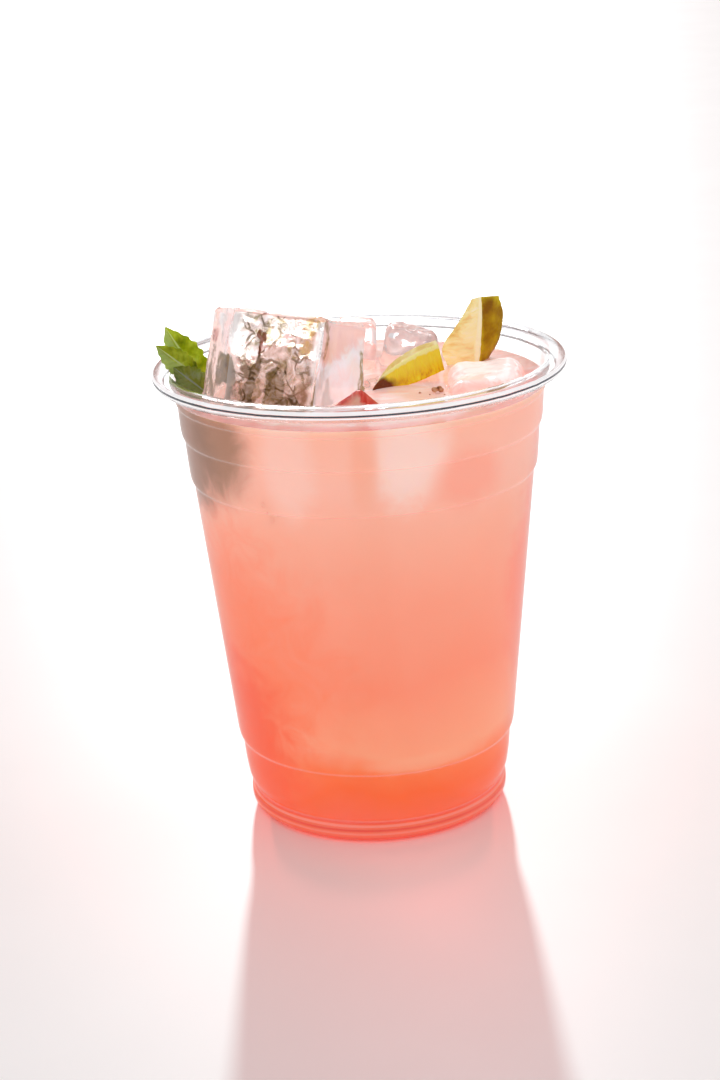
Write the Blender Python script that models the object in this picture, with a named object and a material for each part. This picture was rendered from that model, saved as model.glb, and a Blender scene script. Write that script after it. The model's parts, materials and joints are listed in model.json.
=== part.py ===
"""Pink lemonade in a clear plastic tumbler, with ice, lemon, strawberry and mint.

The cup stands on the ground plane with its axis on Z, and the fruit faces -Y.
"""

import math

import bmesh
import bpy
from mathutils import Matrix, Vector, noise

MM = 0.001

# Cup: a thin shell turned about Z
SIDES = 44
WALL = 0.5 * MM
RIM_RADIUS = 49.0 * MM
RIM_HEIGHT = 111.9 * MM
RIM_HALF_WIDTH = 2.4 * MM
RIM_HALF_DEPTH = 1.9 * MM
CURL_END = -112.0
CURL_STEPS = 8
FOOT_RADIUS = 31.85 * MM
FOOT_FILLET = 2.6 * MM
FOOT_FLAT = 0.8 * MM
BASE_RADIUS = 24.8 * MM
BASE_LIFT = 3.8 * MM

# Outside of the wall from the foot up, as (radius, height)
WALL_LINE = [
    (31.8 * MM, 4.1 * MM),
    (31.25 * MM, 5.3 * MM),
    (31.5 * MM, 6.4 * MM),
    (32.4 * MM, 8.6 * MM),
    (32.95 * MM, 12.5 * MM),
    (33.25 * MM, 16.2 * MM),
    (34.35 * MM, 20.3 * MM),
    (34.6 * MM, 22.5 * MM),
    (40.75 * MM, 83.0 * MM),
    (41.75 * MM, 86.4 * MM),
    (42.5 * MM, 94.8 * MM),
    (43.25 * MM, 97.6 * MM),
    (43.6 * MM, 103.0 * MM),
    (44.05 * MM, 104.2 * MM),
    (44.4 * MM, 107.6 * MM),
]

# Drink
DRINK_LEVEL = 105.0 * MM
GAP = 0.3 * MM
POCKET_GAP = 0.4 * MM

# Ice, as (name, size, centre, (turn, pitch, lean), corner radius)
# A negative pitch lays the top back, and a positive lean carries it towards +X.
ICE = [
    ("ice_front", (28.8, 27.6, 29.0), (-17.8, -9.2, 110.2), (-24.0, -13.2, 11.0), 2.4),
    ("ice_back", (10.6, 14.0, 19.0), (-0.9, 19.6, 107.0), (-3.0, -3.0, 5.0), 2.4),
    ("ice_back_right", (13.6, 13.0, 15.6), (12.2, 21.9, 105.4), (-5.0, -4.0, 12.0), 2.8),
    ("ice_right", (18.6, 23.0, 14.0), (29.8, -4.8, 101.5), (-4.0, 3.0, -3.0), 4.6),
]
ICE_CUTS = 6
ICE_DENT = 0.6 * MM
ICE_DENT_SCALE = 9.0 * MM

# Lemon wedges, as stations along each: the core, the near and the far edge of the peel, in mm
LEMON_FRONT = [
    ((2.6, -8.0, 104.2), (3.0, -7.0, 105.6), (3.8, -4.4, 105.2)),
    ((5.6, -6.2, 103.8), (5.6, -3.4, 107.6), (5.8, 0.6, 107.2)),
    ((9.6, -4.4, 104.2), (8.8, -0.6, 109.2), (8.2, 6.0, 108.4)),
    ((14.8, -3.2, 105.4), (14.0, 1.4, 111.6), (13.4, 8.2, 110.8)),
    ((20.2, -1.6, 107.2), (18.9, 1.2, 113.4), (18.4, 6.8, 112.6)),
]
LEMON_BACK = [
    ((23.6, 15.2, 97.0), (27.6, 15.2, 97.0), (28.6, 19.6, 97.0)),
    ((20.8, 13.8, 104.8), (29.0, 14.6, 105.0), (31.9, 20.4, 104.6)),
    ((19.6, 13.4, 109.6), (29.4, 14.4, 109.8), (34.9, 20.6, 109.2)),
    ((24.2, 14.0, 115.8), (29.8, 14.6, 116.2), (36.2, 20.6, 115.4)),
    ((27.6, 14.8, 120.8), (29.8, 15.4, 121.2), (35.2, 20.0, 120.2)),
]
LEMON_STEPS = 2
PEEL_BULGE = 0.12

# Strawberry slice, its tip down in the drink; its place is (centre in mm, direction, facing)
BERRY_LENGTH = 17.0 * MM
BERRY_WIDTH = 13.8 * MM
BERRY_THICKNESS = 4.0 * MM
BERRY_POINTS = 24
BERRY_PLACE = ((0.5, -23.2, 101.2), (-0.25, 0.1, -1), (0.15, -1, 0.3))

# Mint leaves, as (name, (length, width), bend, stalk, direction, facing), lengths in mm
MINT = [
    ("mint_upper", (15.6, 9.0), -0.06, (-36.9, -3.4, 108.0), (-0.50, -0.02, 0.86), (-0.1, -1, 0.1)),
    ("mint_side", (11.4, 6.0), -0.08, (-38.2, -6.4, 110.6), (-0.80, 0.04, 0.66), (-0.1, -1, 0.3)),
    ("mint_lower", (8.8, 6.6), -0.10, (-36.4, -9.0, 107.4), (-0.70, 0.02, 0.62), (-0.1, -1, 0.5)),
]
LEAF_THICKNESS = 0.6 * MM
LEAF_FOLD = 0.3
LEAF_STEPS = 12
LEAF_HALF_STEPS = 3


def clear_scene():
    for old in list(bpy.data.objects):
        bpy.data.objects.remove(old)


def plain_material(name, colour, roughness, see_through=0.0):
    material = bpy.data.materials.new(name)
    material.use_nodes = True
    shader = material.node_tree.nodes["Principled BSDF"]
    shader.inputs["Base Color"].default_value = (*colour, 1.0)
    shader.inputs["Roughness"].default_value = roughness
    shader.inputs["Metallic"].default_value = 0.0
    shader.inputs["Transmission Weight"].default_value = see_through
    return material


def add_object(name, bm, material, smooth_below=35.0):
    """Turns a bmesh into an object with its faces pointing out."""
    bmesh.ops.recalc_face_normals(bm, faces=bm.faces[:])
    mesh = bpy.data.meshes.new(name)
    bm.to_mesh(mesh)
    bm.free()
    mesh.shade_smooth()
    mesh.set_sharp_from_angle(angle=math.radians(smooth_below))
    if material is not None:
        mesh.materials.append(material)
    obj = bpy.data.objects.new(name, mesh)
    bpy.context.scene.collection.objects.link(obj)
    return obj


def ellipse_arc(centre, half_width, half_height, start, end, steps):
    """Points (radius, height) on an ellipse, from one angle in degrees to another."""
    points = []
    for i in range(steps + 1):
        a = math.radians(start + (end - start) * i / steps)
        points.append((centre[0] + half_width * math.cos(a), centre[1] + half_height * math.sin(a)))
    return points


def turned(name, profile, material):
    """Spins an open profile of (radius, height) points, which starts and ends on Z."""
    bm = bmesh.new()
    ring = [bm.verts.new((r, 0.0, z)) for r, z in profile]
    edges = [bm.edges.new(pair) for pair in zip(ring, ring[1:])]
    bmesh.ops.spin(
        bm,
        geom=ring + edges,
        cent=(0.0, 0.0, 0.0),
        axis=(0.0, 0.0, 1.0),
        angle=math.tau,
        steps=SIDES,
        use_merge=True,
    )
    bmesh.ops.remove_doubles(bm, verts=bm.verts[:], dist=0.001 * MM)
    return add_object(name, bm, material)


def rim_centre():
    return RIM_RADIUS - RIM_HALF_WIDTH, RIM_HEIGHT - RIM_HALF_DEPTH


def outside_line():
    """Under the base, round the foot and up the wall, to where the rim curls over."""
    contact = FOOT_RADIUS - FOOT_FILLET
    foot = ellipse_arc((contact, FOOT_FILLET), FOOT_FILLET, FOOT_FILLET, -90, 0, 3)
    hollow = [
        (0.0, BASE_LIFT),
        (BASE_RADIUS, BASE_LIFT),
        (BASE_RADIUS + 1.5 * MM, BASE_LIFT - 1.0 * MM),
        (contact - FOOT_FLAT - 0.7 * MM, 0.9 * MM),
        (contact - FOOT_FLAT, 0.0),
    ]
    return hollow + foot + WALL_LINE


def inside_line(inset=0.0):
    """The wall's inner side from the rim down to the axis. An inset gives what fills it."""
    step = WALL + inset
    wall = [(r - step, z) for r, z in reversed(WALL_LINE)]
    contact = FOOT_RADIUS - FOOT_FILLET
    trough = ellipse_arc((contact, FOOT_FILLET), FOOT_FILLET - step, FOOT_FILLET - step, 0, -90, 2)
    floor = trough + [
        (contact - FOOT_FLAT, step),
        (contact - FOOT_FLAT - 0.9 * MM - 0.2 * inset, 1.4 * MM + inset),
        (BASE_RADIUS + 1.6 * MM - 0.4 * inset, BASE_LIFT - 0.3 * MM + inset),
        (BASE_RADIUS, BASE_LIFT + step),
        (0.0, BASE_LIFT + step),
    ]
    return wall + floor


def build_cup(material):
    """A shell whose wall rolls outward over the rim and ends underneath it."""
    centre = rim_centre()
    under = ellipse_arc(
        centre, RIM_HALF_WIDTH - WALL, RIM_HALF_DEPTH - WALL, 180, CURL_END, CURL_STEPS
    )
    over = ellipse_arc(centre, RIM_HALF_WIDTH, RIM_HALF_DEPTH, CURL_END, 180, CURL_STEPS + 2)
    return turned("cup", outside_line() + under + over + inside_line(), material)


def build_drink(material):
    """Fills the cup to its level, a little clear of the wall."""
    below = [(r, z) for r, z in inside_line(GAP) if z < DRINK_LEVEL]
    top_radius = radius_at(DRINK_LEVEL) - WALL - GAP
    surface = [(0.0, DRINK_LEVEL), (top_radius, DRINK_LEVEL)]
    return turned("drink", surface + below, material)


def radius_at(height):
    """Outer radius of the wall at a height."""
    for (r0, z0), (r1, z1) in zip(WALL_LINE, WALL_LINE[1:]):
        if z0 <= height <= z1:
            return r0 + (r1 - r0) * (height - z0) / (z1 - z0)
    return WALL_LINE[-1][0]


def pose(centre, turn, pitch, lean):
    """Moves a shape to centre after leaning it to +X, pitching it and turning it."""
    return (
        Matrix.Translation(centre)
        @ Matrix.Rotation(math.radians(lean), 4, "Y")
        @ Matrix.Rotation(math.radians(pitch), 4, "X")
        @ Matrix.Rotation(math.radians(turn), 4, "Z")
    )


def rounded_block(size, corner, cuts):
    """A bmesh box with round edges and corners."""
    bm = bmesh.new()
    bmesh.ops.create_cube(bm, size=2.0)
    bmesh.ops.subdivide_edges(bm, edges=bm.edges[:], cuts=cuts, use_grid_fill=True)
    half = Vector(size) / 2
    core = half - Vector((corner, corner, corner))
    for v in bm.verts:
        # Grid lines crowd towards the edges, where the shape is round.
        spread = [math.copysign(1 - (1 - abs(c)) ** 1.5, c) for c in v.co]
        point = Vector([c * h for c, h in zip(spread, half)])
        inner = Vector([max(-k, min(k, p)) for p, k in zip(point, core)])
        away = point - inner
        v.co = inner + away.normalized() * corner if away.length > 0 else point
    return bm


def melt(bm, seed):
    """Dents a block inward only, as ice melts."""
    bm.normal_update()
    moves = []
    for v in bm.verts:
        depth = noise.noise(v.co / ICE_DENT_SCALE + Vector((seed * 7.3, seed * 3.1, seed * 5.7)))
        moves.append(v.normal * -ICE_DENT * (0.5 + depth))
    for v, move in zip(bm.verts, moves):
        v.co += move


def build_ice(spec, seed, material):
    name, size, centre, (turn, pitch, lean), corner = spec
    bm = rounded_block([s * MM for s in size], corner * MM, ICE_CUTS)
    melt(bm, seed)
    place = pose(Vector(centre) * MM, turn, pitch, lean)
    bmesh.ops.transform(bm, matrix=place, verts=bm.verts[:])
    return add_object(name, bm, material)


def curve_through(points, steps):
    """A smooth curve through points, with some steps from each to the next."""
    padded = [points[0]] + points + [points[-1]]
    curve = []
    for a, b, c, d in zip(padded, padded[1:], padded[2:], padded[3:]):
        for i in range(steps):
            t = i / steps
            bend = (2 * a - 5 * b + 4 * c - d) * t * t + (3 * b - a - 3 * c + d) * t * t * t
            curve.append(b + ((c - a) * t + bend) / 2)
    return curve + [points[-1]]


def softened(corners, rounds=2):
    """Cuts the corners of a closed outline, each time leaving twice as many."""
    for _ in range(rounds):
        cut = []
        for a, b in zip(corners, corners[1:] + corners[:1]):
            cut += [a.lerp(b, 0.16), a.lerp(b, 0.84)]
        corners = cut
    return corners


def peel_bulge(near, far, core):
    """The point of the peel that stands out furthest between its two edges."""
    middle = (near + far) / 2
    return middle + (middle - core) * PEEL_BULGE


def build_lemon(name, stations, material):
    """Joins softened sections of core, cut faces and peel, and closes both ends."""
    lines = [
        curve_through([Vector(s[corner]) * MM for s in stations], LEMON_STEPS)
        for corner in range(3)
    ]
    bm = bmesh.new()
    rings = []
    for core, near, far in zip(*lines):
        section = softened([core, near, peel_bulge(near, far, core), far])
        rings.append([bm.verts.new(p) for p in section])
    bridge(bm, rings)
    return add_object(name, bm, material, 50.0)


def bridge(bm, rings):
    """Skins rings of the same count in order, and fans both end rings shut."""
    count = len(rings[0])
    for low, high in zip(rings, rings[1:]):
        for i in range(count):
            j = (i + 1) % count
            bm.faces.new((low[i], low[j], high[j], high[i]))
    for ring in (rings[0], rings[-1]):
        middle = bm.verts.new(sum((v.co for v in ring), Vector()) / count)
        for i in range(count):
            bm.faces.new((middle, ring[i], ring[(i + 1) % count]))


def placed_by_axes(origin, along, facing):
    """Carries X to along and -Y to facing, and the origin to a point."""
    x = Vector(along).normalized()
    y = -(Vector(facing) - Vector(facing).dot(x) * x).normalized()
    z = x.cross(y)
    turn = Matrix((x, y, z)).transposed().to_4x4()
    return Matrix.Translation(Vector(origin) * MM) @ turn


def berry_outline(steps):
    """A strawberry cut lengthwise in XZ, its tip at +X."""
    points = []
    for i in range(steps):
        a = math.tau * i / steps
        along = math.cos(a)
        fullness = 1.0 - 0.28 * along - 0.12 * along * along
        width = math.sin(a) * BERRY_WIDTH / 2 * fullness
        points.append(Vector((along * BERRY_LENGTH / 2, 0, width)))
    return points


def build_berry(name, origin, along, facing, material):
    """A slice, thinner at its edge than in its middle."""
    bm = bmesh.new()
    outline = berry_outline(BERRY_POINTS)
    rings = []
    for share, side in ((0.62, -1), (0.93, -0.72), (1.0, 0), (0.93, 0.72), (0.62, 1)):
        shift = Vector((0, side * BERRY_THICKNESS / 2, 0))
        rings.append([bm.verts.new(p * share + shift) for p in outline])
    bridge(bm, rings)
    place = placed_by_axes(origin, along, facing)
    bmesh.ops.transform(bm, matrix=place, verts=bm.verts[:])
    return add_object(name, bm, material, 60.0)


def leaf_surface(length, width, bend, u, v):
    """A point of a leaf lying along +X: u runs from stalk to tip, v from edge to edge."""
    outline = math.sin(math.pi * min(1.0, u * 0.92 + 0.08) ** 0.85) ** 0.8
    teeth = 1.0 + 0.07 * math.cos(u * math.tau * 7)
    across = v * width / 2 * max(outline, 0.04) * teeth
    lift = LEAF_FOLD * abs(across) + bend * length * u * u
    ripple = 0.05 * width * math.sin(u * 11.0 + 2.0 * v) * abs(v)
    return Vector((length * u, across, lift + ripple))


def build_leaf(name, size, bend, origin, along, facing, material):
    """A thin wavy solid whose two faces have the same triangles."""
    length, width = (s * MM for s in size)
    columns = 2 * LEAF_HALF_STEPS
    bm = bmesh.new()
    sheets = []
    for side in (-0.5, 0.5):
        sheet = []
        for i in range(LEAF_STEPS + 1):
            row = []
            for j in range(columns + 1):
                u = i / LEAF_STEPS
                v = j / LEAF_HALF_STEPS - 1
                point = leaf_surface(length, width, bend, u, v)
                row.append(bm.verts.new(point + Vector((0, 0, side * LEAF_THICKNESS))))
            sheet.append(row)
        sheets.append(sheet)
    for i in range(LEAF_STEPS):
        for j in range(columns):
            for sheet, flip in zip(sheets, (True, False)):
                a, b = sheet[i][j], sheet[i][j + 1]
                c, d = sheet[i + 1][j + 1], sheet[i + 1][j]
                for corners in ((a, d, c), (a, c, b)):
                    bm.faces.new(tuple(reversed(corners)) if flip else corners)
    under, over = sheets
    border = [(i, 0) for i in range(LEAF_STEPS)]
    border += [(LEAF_STEPS, j) for j in range(columns)]
    border += [(i, columns) for i in range(LEAF_STEPS, 0, -1)]
    border += [(0, j) for j in range(columns, 0, -1)]
    for (i, j), (k, m) in zip(border, border[1:] + border[:1]):
        bm.faces.new((under[i][j], under[k][m], over[k][m], over[i][j]))
    x = Vector(along).normalized()
    z = (Vector(facing) - Vector(facing).dot(x) * x).normalized()
    turn = Matrix((x, z.cross(x), z)).transposed().to_4x4()
    place = Matrix.Translation(Vector(origin) * MM) @ turn
    bmesh.ops.transform(bm, matrix=place, verts=bm.verts[:])
    return add_object(name, bm, material, 60.0)


def grown_pocket(obj):
    """The room that a finished piece takes in the drink."""
    bm = bmesh.new()
    bm.from_mesh(obj.data)
    bm.normal_update()
    moves = [v.normal * POCKET_GAP * v.calc_shell_factor() for v in bm.verts]
    for v, move in zip(bm.verts, moves):
        v.co += move
    return add_object(obj.name + "_pocket", bm, None)


def cut_pockets(drink, cutters):
    """Takes every piece's room out of the drink, and keeps the cutters as hidden helpers."""
    helpers = bpy.data.collections.new("pockets")
    bpy.context.scene.collection.children.link(helpers)
    for cutter in cutters:
        bpy.context.scene.collection.objects.unlink(cutter)
        helpers.objects.link(cutter)
        cutter.hide_render = True
        cutter.display_type = "WIRE"
    cut = drink.modifiers.new("pockets", "BOOLEAN")
    cut.operation = "DIFFERENCE"
    cut.operand_type = "COLLECTION"
    cut.collection = helpers
    cut.solver = "EXACT"
    cut.use_self = True


def main():
    clear_scene()
    clear_plastic = plain_material("clear plastic", (0.96, 0.97, 0.98), 0.05, 1.0)
    lemonade = plain_material("pink lemonade", (0.96, 0.36, 0.25), 0.2)
    ice = plain_material("ice", (0.93, 0.90, 0.90), 0.08, 1.0)
    lemon = plain_material("lemon", (0.90, 0.66, 0.10), 0.4)
    berry = plain_material("strawberry", (0.80, 0.08, 0.06), 0.35)
    mint = plain_material("mint", (0.20, 0.38, 0.04), 0.45)

    build_cup(clear_plastic)
    drink = build_drink(lemonade)
    pieces = [build_ice(spec, seed, ice) for seed, spec in enumerate(ICE, start=1)]
    pieces.append(build_lemon("lemon_front", LEMON_FRONT, lemon))
    pieces.append(build_lemon("lemon_back", LEMON_BACK, lemon))
    pieces.append(build_berry("strawberry", *BERRY_PLACE, berry))
    pieces += [build_leaf(*leaf, mint) for leaf in MINT]
    cut_pockets(drink, [grown_pocket(piece) for piece in pieces])


main()
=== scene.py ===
import json
import math

import bmesh
import bpy
from mathutils import Matrix, Vector, noise

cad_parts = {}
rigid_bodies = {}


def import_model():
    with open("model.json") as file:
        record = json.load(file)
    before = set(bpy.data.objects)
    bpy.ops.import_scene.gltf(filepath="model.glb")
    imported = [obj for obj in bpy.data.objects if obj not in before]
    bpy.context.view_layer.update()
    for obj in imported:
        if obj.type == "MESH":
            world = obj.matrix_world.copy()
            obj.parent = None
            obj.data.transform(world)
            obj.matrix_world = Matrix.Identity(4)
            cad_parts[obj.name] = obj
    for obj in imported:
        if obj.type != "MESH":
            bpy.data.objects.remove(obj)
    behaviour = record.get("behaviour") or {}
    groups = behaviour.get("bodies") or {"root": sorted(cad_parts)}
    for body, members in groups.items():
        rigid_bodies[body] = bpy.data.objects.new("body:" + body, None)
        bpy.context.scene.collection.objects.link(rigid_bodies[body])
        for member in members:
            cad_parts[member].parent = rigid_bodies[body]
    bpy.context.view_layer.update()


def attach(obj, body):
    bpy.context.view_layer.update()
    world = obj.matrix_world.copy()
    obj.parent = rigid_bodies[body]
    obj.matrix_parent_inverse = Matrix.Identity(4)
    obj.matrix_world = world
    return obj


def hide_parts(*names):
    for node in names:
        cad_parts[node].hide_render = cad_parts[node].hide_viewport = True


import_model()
mm = 0.001
noise.seed_set(7)    # the ice's crinkle comes out the same each run


# materials are built with these

class Nodes:
    # one tree of nodes; a value is a number, a colour or what another node gives
    def __init__(self, tree):
        self.tree = tree

    def put(self, socket, value):
        if isinstance(value, bpy.types.NodeSocket):
            self.tree.links.new(value, socket)
        elif socket.type == "RGBA":
            socket.default_value = (*value, 1.0)
        else:
            socket.default_value = value

    def add(self, kind, inputs, output=0, **settings):
        node = self.tree.nodes.new("ShaderNode" + kind)
        for key, value in settings.items():
            setattr(node, key, value)
        for key, value in inputs.items():
            if value is not None:
                self.put(node.inputs[key], value)
        return node.outputs[output]

    def point(self, kind="Object"):
        return self.add("TexCoord", {}, kind)

    def axes(self, vector):
        split = self.tree.nodes.new("ShaderNodeSeparateXYZ")
        self.put(split.inputs[0], vector)
        return split.outputs

    def noise(self, where, scale, detail=3.0, roughness=0.5, distortion=0.0, output="Fac"):
        inputs = {"Vector": where, "Scale": scale, "Detail": detail, "Roughness": roughness,
                  "Distortion": distortion}
        return self.add("TexNoise", inputs, output)

    def stretched(self, where, scale):
        return self.add("Mapping", {"Vector": where, "Scale": scale})

    def math(self, operation, a, b=None, clamp=False):
        return self.add("Math", {0: a, 1: b}, operation=operation, use_clamp=clamp)

    def vector(self, operation, a, b=None, output="Value"):
        return self.add("VectorMath", {0: a, 1: b}, output, operation=operation)

    def plus(self, a, b):
        return self.math("ADD", a, b)

    def times(self, first, *others):
        for other in others:
            first = self.math("MULTIPLY", first, other)
        return first

    def gap(self, value, middle):
        return self.math("ABSOLUTE", self.math("SUBTRACT", value, middle))

    def rag(self, value, amount):
        # a noise between 0 and 1 as a shift to either side
        return self.times(self.math("SUBTRACT", value, 0.5), amount)

    def eased(self, value, low, high, toLow=0.0, toHigh=1.0):
        inputs = {"Value": value, "From Min": low, "From Max": high, "To Min": toLow, "To Max": toHigh}
        return self.add("MapRange", inputs, interpolation_type="SMOOTHSTEP")

    def mixed(self, share, a, b, blend="MIX"):
        return self.add("Mix", {0: share, 6: a, 7: b}, 2, data_type="RGBA", blend_type=blend)

    def ramp(self, value, stops):
        node = self.tree.nodes.new("ShaderNodeValToRGB")
        elements = node.color_ramp.elements
        while len(elements) < len(stops):
            elements.new(0.5)
        for element, (place, colour) in zip(elements, stops):
            element.position = place
            element.color = (*colour, 1.0)
        self.put(node.inputs["Fac"], value)
        return node.outputs["Color"]


class Look(Nodes):
    # one Principled material
    def __init__(self, name, roughness=0.5, ior=1.45, specular=0.5):
        self.material = bpy.data.materials.new(name)
        self.material.use_nodes = True
        super().__init__(self.material.node_tree)
        self.shader = self.tree.nodes["Principled BSDF"]
        self.set({"Roughness": roughness, "IOR": ior, "Specular IOR Level": specular})

    def set(self, values):
        for name, value in values.items():
            self.put(self.shader.inputs[name], value)

    def glows(self, colour, strength):
        self.set({"Base Color": colour, "Emission Color": colour, "Emission Strength": strength})

    def soaked(self, weight, radius, scale):
        self.set({"Subsurface Weight": weight, "Subsurface Radius": radius, "Subsurface Scale": scale})

    def bumped(self, height, distance, strength=1.0):
        inputs = {"Height": height, "Distance": distance, "Strength": strength}
        self.set({"Normal": self.add("Bump", inputs)})

    def letLampsThrough(self, tint):
        # clear things don't block the lamps, they only tint their light
        inputs = {"Fac": self.add("LightPath", {}, "Is Shadow Ray"), 1: self.shader.outputs["BSDF"],
                  2: self.add("BsdfTransparent", {"Color": tint})}
        self.put(self.tree.nodes["Material Output"].inputs["Surface"], self.add("MixShader", inputs))


# meshes are built with these

def smoothStep(low, high, value):
    t = max(0.0, min(1.0, (value - low) / (high - low)))
    return t * t * (3 - 2 * t)


def newMesh(name, verts, faces):
    mesh = bpy.data.meshes.new(name)
    mesh.from_pydata([tuple(v) for v in verts], [], faces)
    outward = bmesh.new()
    outward.from_mesh(mesh)
    bmesh.ops.recalc_face_normals(outward, faces=outward.faces[:])
    outward.to_mesh(mesh)
    outward.free()
    return mesh


def makePiece(name, verts, faces, materials, replaced=(), uvs=None, faceSlots=None):
    mesh = newMesh(name, verts, faces)
    if uvs:
        layer = mesh.uv_layers.new(name="along")
        for loop in mesh.loops:
            layer.data[loop.index].uv = uvs[loop.vertex_index]
    mesh.shade_smooth()
    for material in materials:
        mesh.materials.append(material)
    for polygon, index in zip(mesh.polygons, faceSlots or ()):
        polygon.material_index = index
    piece = bpy.data.objects.new(name, mesh)
    bpy.context.scene.collection.objects.link(piece)
    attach(piece, "root")
    if replaced:
        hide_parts(*replaced)
    return piece


def quadsBetween(rows, count, closed=True):
    # faces between rows of points, each row closed to a loop or left open
    faces = []
    for i in range(rows - 1):
        for j in range(count if closed else count - 1):
            a, b = i * count + j, i * count + (j + 1) % count
            faces.append([a, b, b + count, a + count])
    return faces


def bothSides(faces, border, sheet):
    # a thin sheet: its faces, the same turned over on the second half of the points, and its edge
    faces = faces + [[sheet + k for k in reversed(face)] for face in faces]
    return faces + [[a, b, sheet + b, sheet + a] for a, b in zip(border, border[1:] + border[:1])]


def roundedLine(points, rounds=3, share=0.2):
    # corners cut, the two ends kept
    for _ in range(rounds):
        cut = [points[0]]
        for (r0, z0), (r1, z1) in zip(points, points[1:]):
            cut.append((r0 + (r1 - r0) * share, z0 + (z1 - z0) * share))
            cut.append((r1 + (r0 - r1) * share, z1 + (z0 - z1) * share))
        points = cut + [points[-1]]
    return points


def arcPoints(centre, halfWidth, halfHeight, start, end, steps):
    points = []
    for i in range(steps + 1):
        a = math.radians(start + (end - start) * i / steps)
        points.append((centre[0] + halfWidth * math.cos(a), centre[1] + halfHeight * math.sin(a)))
    return points


def spun(profile, sides, shift=None):
    # a line of (radius, height) turned about Z; an end on the axis closes it
    verts = []
    rows = []
    for r, z in profile:
        if r < 1e-7:
            rows.append([len(verts)] * sides)
            verts.append(Vector((0, 0, z)))
            continue
        rows.append(list(range(len(verts), len(verts) + sides)))
        for i in range(sides):
            a = math.tau * i / sides
            rr, zz = shift(r, z, a) if shift else (r, z)
            verts.append(Vector((rr * math.cos(a), rr * math.sin(a), zz)))
    faces = []
    for low, high in zip(rows, rows[1:]):
        for i in range(sides):
            j = (i + 1) % sides
            corners = [low[i], low[j], high[j], high[i]]
            face = list(dict.fromkeys(corners))
            if len(face) > 2:
                faces.append(face)
    return verts, faces


def lumpyBall(centre, size, place, rings, sides, lump, seed):
    points = []
    for i in range(rings + 1):
        tilt = math.pi * i / rings
        for j in range(sides):
            a = math.tau * j / sides
            out = Vector((math.sin(tilt) * math.cos(a), math.sin(tilt) * math.sin(a), math.cos(tilt)))
            grow = 1.0 + lump * noise.noise(out * 1.6 + Vector((seed, seed, seed)))
            spot = Vector([c + s * o * grow for c, s, o in zip(centre, size, out)])
            points.append(place @ (spot * mm))
    return points, quadsBetween(rings + 1, sides)


def makeLumps(name, balls, material):
    verts = []
    faces = []
    for ball in balls:
        points, links = lumpyBall(*ball)
        faces += [[i + len(verts) for i in face] for face in links]
        verts += points
    makePiece(name, verts, faces, [material])


def placed(centre, axes):
    return Matrix.Translation(Vector(centre) * mm) @ Matrix(axes).transposed().to_4x4()


def lyingAxes(along, facing):
    # unit directions: along the thing, and square to that towards the way it faces
    along = Vector(along).normalized()
    facing = Vector(facing)
    return along, (facing - facing.dot(along) * along).normalized()


# cup

cupSizes = {
    "sides": 180,
    "wall": 0.5 * mm,
    "rimRadius": 48.98 * mm,
    "rimTop": 111.9 * mm,
    "rimHalfWidth": 2.4 * mm,
    "rimHalfDepth": 1.9 * mm,
    "rimEnd": -112,
    "footRadius": 31.85 * mm,
    "footFillet": 2.6 * mm,
    "footFlat": 0.8 * mm,
    "baseRadius": 24.8 * mm,
    "baseLift": 3.8 * mm,
    "rimNicks": (-133, -117, -49, -36, 24),   # degrees round the cup where the mould left a mark
    "nickDepth": 0.16 * mm,
    "nickWidth": 0.02,    # radians
    # degrees round the roll, from its outermost line up: a dark line painted on as a reflection, two bands
    # painted white as highlights, and the clear top
    "darkReflection": (-5, 7), "crest": (10, 34), "lowCrest": (-21, -9), "top": (36, 135),
    # heights (mm) of the steps' edges, which are painted pale as highlights, with their half widths, and the
    # radius they begin at
    "ridgesFrom": 29.0 * mm,
    "ridges": ((103.75, 0.2), (95.75, 0.15), (84.75, 0.15), (18.55, 0.18), (5.55, 0.22)),
}

# outside of the wall from the foot up: groove, foot, lower step, straight wall, stacking steps, ledge, flare
cupWall = [(r * mm, z * mm) for r, z in (
    (31.8, 4.0), (31.25, 5.0), (31.2, 5.8), (31.7, 6.6), (32.4, 8.6), (32.95, 12.5),
    (33.25, 16.2), (33.45, 18.0), (34.1, 19.0), (34.4, 20.6), (34.62, 22.8),
    (40.75, 83.0), (40.9, 84.3), (41.5, 85.1), (41.75, 86.6), (42.35, 94.6), (42.45, 95.3),
    (42.95, 96.0), (43.2, 97.6), (43.5, 102.8), (43.6, 103.4), (44.0, 104.0), (44.35, 107.6),
)]

# name, tint, clearness, glow, specular; the dark line and the white bands are the rim's painted reflection
# and highlights, the pale ridge lines are painted highlights on the wall's step edges
rimLooks = (
    ("rimDarkReflection", (0.05, 0.065, 0.09), 0.2, 0.0, 0.5),
    ("rimCrestHighlight", (0.97, 0.98, 1.0), 0.1, 0.32, 0.5),
    ("rimTop", (0.97, 0.98, 1.0), 0.96, 0.0, 0.25),
    ("wallRidgeHighlight", (1.0, 0.94, 0.92), 0.82, 0.0, 0.5),
)


def cupOutside():
    c = cupSizes
    contact = c["footRadius"] - c["footFillet"]
    hollow = [
        (0.0, c["baseLift"]),
        (c["baseRadius"], c["baseLift"]),
        (c["baseRadius"] + 1.5 * mm, c["baseLift"] - 1.0 * mm),
        (contact - c["footFlat"] - 0.7 * mm, 0.9 * mm),
        (contact - c["footFlat"], 0.0),
    ]
    foot = arcPoints((contact, c["footFillet"]), c["footFillet"], c["footFillet"], -90, 0, 9)
    return hollow + foot, cupWall


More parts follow.
